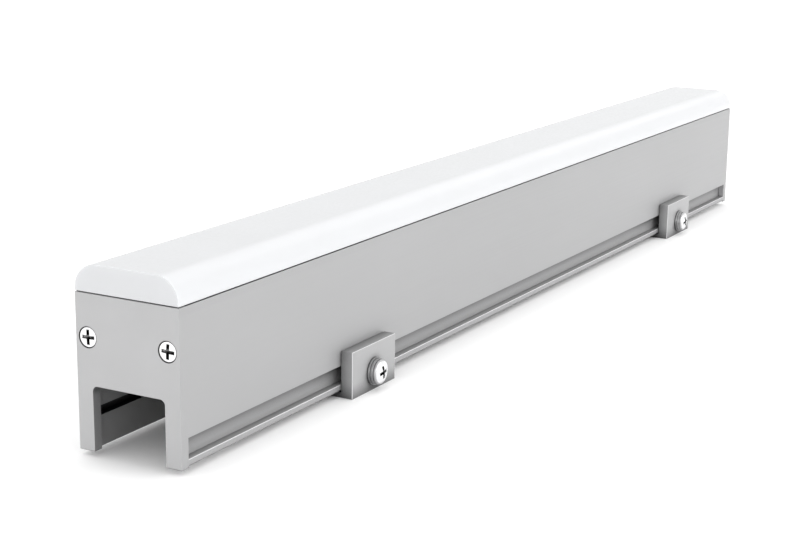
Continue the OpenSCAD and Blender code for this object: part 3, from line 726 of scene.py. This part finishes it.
def pan_screw(head_r, head_h, recess, shank_r, shank_l, tip_r, tip_l):
    """Pan head screw along z, its head's bearing face at z zero, with a thread and a plain tip below."""
    inner_r = head_r - SHOULDER_R
    rise = head_h - RIM_H
    dome_r = (inner_r ** 2 + rise ** 2 - SHOULDER_R ** 2) / (2 * (rise - SHOULDER_R))
    meet = math.degrees(math.atan2(RIM_H - head_h + dome_r, inner_r))
    dome = arc(0, head_h - dome_r, dome_r, POLE_ANGLE, meet, DOME_STEPS)
    shoulder = arc(inner_r, RIM_H, SHOULDER_R, meet, 0, SHOULDER_STEPS)[1:]
    rim = [(head_r, RIM_EDGE), (head_r - RIM_EDGE, 0)]
    neck = [(shank_r + NECK, 0), (shank_r, -NECK)]
    thread_top, thread_end = -2 * NECK, tip_l - shank_l
    rows = thread_rows(shank_r, thread_top, thread_end, CLAMP_PITCH)
    tip = [(tip_r, thread_end - NECK), (tip_r, TIP_EDGE - shank_l), (tip_r - TIP_EDGE, -shank_l)]
    profile = dome + shoulder + rim + neck + rows + tip
    screw = turned_mesh(profile, CLAMP_PITCH, thread_top, thread_end, inner_r)
    cut(screw, cross_cutter(recess, head_h - RECESS_SINK))
    return screw


def countersunk_screw(head_r, rim_h, recess, shank_r, length):
    """Countersunk screw along z, its head's top at z zero, and its rim, cone and thread below."""
    dome_r = (head_r ** 2 + COUNTERSUNK_RISE ** 2) / (2 * COUNTERSUNK_RISE)
    dome = arc(0, -dome_r, dome_r, POLE_ANGLE, math.degrees(math.acos(head_r / dome_r)), SHOULDER_STEPS)
    cone_top = -COUNTERSUNK_RISE - rim_h
    cone = [(head_r, cone_top), (shank_r, cone_top - (head_r - shank_r))]
    thread_top, thread_end = cone[-1][1] - NECK, CAP_SCREW_TIP - length
    rows = thread_rows(shank_r, thread_top, thread_end, CAP_PITCH)
    tip = [(shank_r * CAP_SCREW_TIP_SHARE, -length)]
    screw = turned_mesh(dome + cone + rows + tip, CAP_PITCH, thread_top, thread_end, RIM_SHARE * head_r)
    cut(screw, cross_cutter(recess, 0))
    return screw


def set_screws(screw, name, places, node, rim_painted_shade):
    """Copies of one screw at several places, joined as the piece that stands for a node.

    The rims of their heads take a second material, which paints shade on them.
    """
    mesh = bmesh.new()
    for place in places:
        moved = screw.data.copy()
        moved.transform(place)
        mesh.from_mesh(moved)
        bpy.data.meshes.remove(moved)
    bpy.data.objects.remove(screw)
    piece = object_from(mesh, name)
    smooth(piece.data)
    stand_for(piece, node, rim_painted_shade)


def turned_by(degrees, axis):
    return Matrix.Rotation(math.radians(degrees), 4, axis)


def clamp_screws(end):
    """The two screws through a bracket's arms, with their tips in the grooves."""
    node = end + "_bracket_screws"
    low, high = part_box(node)
    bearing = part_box(end + "_spring_washers")[1].y
    centre = (low + high) / 2
    head_r = (high.x - low.x) / 2
    screw = pan_screw(head_r, high.y - bearing, CLAMP_RECESS, CLAMP_SHANK_R, bearing - TIP_END,
                      CLAMP_TIP_R, ARM_INNER - TIP_END)
    places = []
    for turn, tilt in zip((0, 180), CLAMP_TILTS[end]):
        stand = turned_by(turn, "Z") @ Matrix.Translation((0, bearing, centre.z))
        aim = turned_by(-90, "X") @ turned_by(tilt, "Z")
        places.append(Matrix.Translation((centre.x, 0, 0)) @ stand @ aim)
    # Painted shade: the rims of the clamp screws' heads take the darker washer steel
    set_screws(screw, end + "_clamp_screws", places, node, "washer_steel")


def cap_screws(end, side):
    """The two countersunk screws in the cap at an end, which looks along x to a side, -1 or 1."""
    node = end + "_cap_screws"
    low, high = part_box(node)
    cad_top = max(abs(low.x), abs(high.x))
    face = max(abs(corner.x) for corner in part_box(end + "_end_cap"))
    head_top = face - COUNTERSUNK_SINK
    head_r = (high.z - low.z) / 2
    screw = countersunk_screw(head_r, head_top - cad_top, CAP_RECESS, CAP_SHANK_R, high.x - low.x)
    places = []
    for y, tilt in zip((low.y + head_r, high.y - head_r), CAP_TILTS[end]):
        stand = Matrix.Translation((side * head_top, y, (low.z + high.z) / 2))
        places.append(stand @ turned_by(90 * side, "Y") @ turned_by(tilt, "Z"))
    # Painted shade: the rims of the heads go near black, as a dark ring in their seats
    set_screws(screw, end + "_cap_fixings", places, node, "shaded_seat")


def dress_nodes():
    """Gives each CAD node its material. The ones that a piece stands for are hidden later."""
    for node, obj in NODES.items():
        obj.data.materials.clear()
        obj.data.materials.append(MATERIALS[SLOT_OF[node]])


def make_floor():
    """A plain pale floor, without a shine."""
    surface = Surface("floor", roughness=1, specular_ior_level=0)
    surface.tint(surface.noise(*FLOOR_CLOUDS), *FLOOR_TONES)
    mesh = bmesh.new()
    bmesh.ops.create_grid(mesh, x_segments=1, y_segments=1, size=FLOOR_SIZE / 2)
    floor = object_from(mesh, "floor")
    floor.data.materials.append(surface.material)


def make_tent():
    """The world's light: a dome of even strength, and soft round patches that add to it."""
    world = bpy.data.worlds.new("tent")
    world.use_nodes = True
    bpy.context.scene.world = world
    graph = Graph(world.node_tree)
    back = graph.tree.nodes["Background"]
    back.inputs["Color"].default_value = TENT_WHITE
    direction = graph.node("TexCoord").outputs["Generated"]
    total = DOME_STRENGTH
    for heading, height, full, whole, strength in PATCHES:
        turn, lift = math.radians(heading), math.radians(height)
        aim = (math.cos(lift) * math.cos(turn), math.cos(lift) * math.sin(turn), math.sin(lift))
        aligned = graph.node("VectorMath", "DOT_PRODUCT")
        graph.feed(aligned.inputs[0], direction)
        graph.feed(aligned.inputs[1], aim)
        outer, inner = (math.cos(math.radians(width)) for width in (whole, full))
        patch = graph.node("MapRange", Value=aligned.outputs["Value"], From_Min=outer, From_Max=inner,
                           To_Min=0, To_Max=strength)
        patch.interpolation_type = "SMOOTHSTEP"
        added = graph.node("Math", "ADD")
        graph.feed(added.inputs[0], patch.outputs[0])
        graph.feed(added.inputs[1], total)
        total = added.outputs[0]
    graph.feed(back.inputs["Strength"], total)


make_camera()
MATERIALS = make_materials()
dress_nodes()
round_housing()
for end in ENDS:
    round_cap(end)
round_cover()
for end in ENDS:
    round_bracket(end)
for end in ENDS:
    round_washers(end)
for end in ENDS:
    clamp_screws(end)
for end, side in zip(ENDS, (-1, 1)):
    cap_screws(end, side)
make_floor()
make_tent()
bpy.context.scene.view_settings.view_transform = "Standard"
